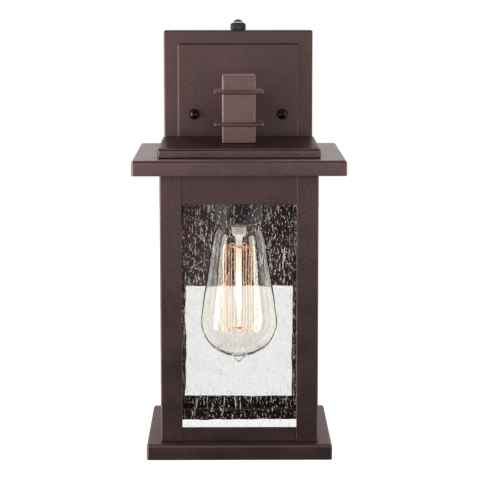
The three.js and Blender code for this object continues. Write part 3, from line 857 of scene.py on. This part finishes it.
def make_filament(draw):
    """Loops of one strand up and down between the two stars, each run slightly bowed."""
    low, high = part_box("filament")
    radius = (high.x - low.x) / 2 - 0.3 * MM
    runs, steps = 2 * LOOPS, 12
    taper = 0.9 * MM  # the loops stand closer to the stem at the top
    path = []
    for k in range(runs):
        angle = 2 * math.pi * (k + 0.75) / runs
        spread = draw.uniform(-0.5, 0.5) * MM
        bow = draw.uniform(-0.9, 0.9) * MM
        rises = k % 2 == 0
        for i in range(steps + 1):
            t = i / steps if rises else 1 - i / steps
            swell = math.sin(math.pi * t)
            turn = angle + (bow * swell) / radius
            reach = radius + spread * swell - (taper if t > 0.5 else 0) * t
            z = low.z + (high.z - low.z) * t
            path.append(Vector((AXIS_X + reach * math.cos(turn), AXIS_Y + reach * math.sin(turn), z)))
    piece = smooth(tube("filament_strand", curve_points(path, 2), 0.12 * MM), 60)
    settle(piece, hot_wire, "filament", "filament", body="bulb")


# ---- Carried-over CAD parts ----
def dress(material, *names):
    """Gives CAD nodes whose shape is right their material."""
    for name in names:
        mesh = nodes[name].data
        mesh.materials.clear()
        mesh.materials.append(material)


# ---- Finishes ----
BRONZE = ((0.115, 0.072, 0.07), (0.136, 0.085, 0.083), (0.2, 0.138, 0.132))
bronze = paint("bronze_cage", *BRONZE)
# A brighter copy of the bronze with a smoother finish: the brighter colour is painted light on the roof
# and the fins.
bronze_lit_roof = paint("bronze_lit_roof", (0.143, 0.09, 0.088), (0.168, 0.106, 0.104), (0.22, 0.15, 0.144),
                    (0.35, 0.42))
# A copy of the bronze whose reflections at a slant are greyed: painted shade on the cap's top. Its
# finish is also smoother.
bronze_shaded_cap = paint("bronze_shaded_cap", *BRONZE, (0.28, 0.34), (0.4, 0.37, 0.37))
# A copy of the bronze whose reflections at a slant are greyed: painted shade on the base's top.
bronze_shaded_base = paint("bronze_shaded_base", *BRONZE, slant=(0.78, 0.74, 0.74))
# A brighter copy of the bronze: painted light on the arm's post and tube, for the bright spot the lamps
# make there.
bronze_lit_arm = paint("bronze_lit_arm", (0.2, 0.127, 0.122), (0.235, 0.149, 0.143), (0.29, 0.2, 0.19))
dark_bronze = paint("bronze_nuts", (0.03, 0.02, 0.018), (0.045, 0.03, 0.028), (0.09, 0.065, 0.06),
                    (0.2, 0.28))
black_plastic = moulding("black_plastic", (0.008, 0.008, 0.008), (0.016, 0.016, 0.016), (0.35, 0.5))
black_gloss = moulding("black_gloss", (0.055, 0.045, 0.043), (0.075, 0.062, 0.06), (0.38, 0.46))
rubber = moulding("rubber", (0.012, 0.012, 0.012), (0.022, 0.022, 0.022), (0.6, 0.8))
black_sleeve = moulding("black_sleeve", (0.01, 0.01, 0.01), (0.018, 0.018, 0.018), (0.4, 0.5))
white_sleeve = moulding("white_sleeve", (0.7, 0.69, 0.66), (0.78, 0.77, 0.74), (0.4, 0.5))
zinc = metal("zinc", (0.5, 0.5, 0.48), (0.66, 0.66, 0.63))
spring = metal("spring_steel", (0.42, 0.42, 0.43), (0.55, 0.55, 0.56))
green_zinc = metal("green_zinc", (0.05, 0.2, 0.08), (0.09, 0.3, 0.12))
copper = metal("copper", (0.6, 0.28, 0.16), (0.75, 0.4, 0.25))
brass = metal("brass", (0.6, 0.42, 0.18), (0.72, 0.52, 0.26))
cap_metal = metal("cap_metal", (0.68, 0.66, 0.6), (0.8, 0.78, 0.73), (0.2, 0.35))
tin = metal("tin", (0.5, 0.5, 0.5), (0.65, 0.65, 0.65), (0.4, 0.6))
# The bulb's wires are matt, so that the lamp's own light shows on them.
wire_metal = moulding("wire_metal", (0.72, 0.33, 0.19), (0.9, 0.5, 0.33), (0.4, 0.5))
vitrite = moulding("vitrite", (0.008, 0.008, 0.009), (0.015, 0.014, 0.016), (0.1, 0.2))
pane_glass = glass("pane_glass", (0.985, 0.985, 0.985), (0.975, 0.975, 0.975),
                   ripple=(200, 0.00003), stretch=(1, 1, 0.35), shadow=(0.6, 0.6, 0.6))
# The seeds are real; their white is painted highlight, for the glints of their air.
seed_glint = glint_scatter("seed_glint", (0.7, 0.7, 0.7), (0.95, 0.95, 0.95), (0.6, 0.95), 0.65)
amber_glass = glass("amber_glass", (1.0, 0.985, 0.945), (0.995, 0.972, 0.92), rim=(0.6, 0.55, 0.33))
# The stem's white core is painted highlight, for the glint of its clear glass.
stem_glint = glint_scatter("stem_glint", (0.93, 0.93, 0.9), (0.98, 0.98, 0.96), (0.6, 0.9), 0.5)
lens_glass = glass("lens_glass", (0.6, 0.62, 0.64), (0.5, 0.52, 0.54), (0.2, 0.35))
hot_wire = glow("hot_wire", (1.0, 0.47, 0.27), (1.0, 0.7, 0.5), 1.35)

# ---- The lantern ----
make_camera()
make_studio()
pan("roof_pan", "roof", 4 * MM, bronze_lit_roof)
pan("cap_pan", "roof_cap", 4 * MM, bronze_shaded_cap)
pan("base_pan", "base", 55 * MM, bronze_shaded_base)
make_posts()
make_rails()
make_back_plate()
make_arm()
make_ball_nuts()
make_photocell()
draw = random.Random(SEED)
for turns, side in enumerate(SIDES):
    make_pane(side, turns, SEEDS_PER_PANE[turns % 2], draw)
make_socket()
make_bulb_cap()
make_bulb_glass()
make_stem()
make_supports()
make_filament(draw)

dress(zinc, "wall_bar", "stud_bar", "mounting_stud_left", "mounting_stud_right", "arm_nipple", "arm_nut",
      "roof_nipple", "lock_nut_upper", "lock_nut_lower", "roof_spacer", "socket_strap")
dress(spring, *(f"glass_clip_{side}" for side in SIDES))
dress(green_zinc, "ground_screw")
dress(copper, "ground_wire")
dress(black_sleeve, "lead_black")
dress(white_sleeve, "lead_white")
dress(black_plastic, "photocell_body")
dress(rubber, "photocell_gasket")
dress(brass, "socket_shell", "socket_contact")
dress(vitrite, "bulb_insulator")
dress(tin, "bulb_contact")
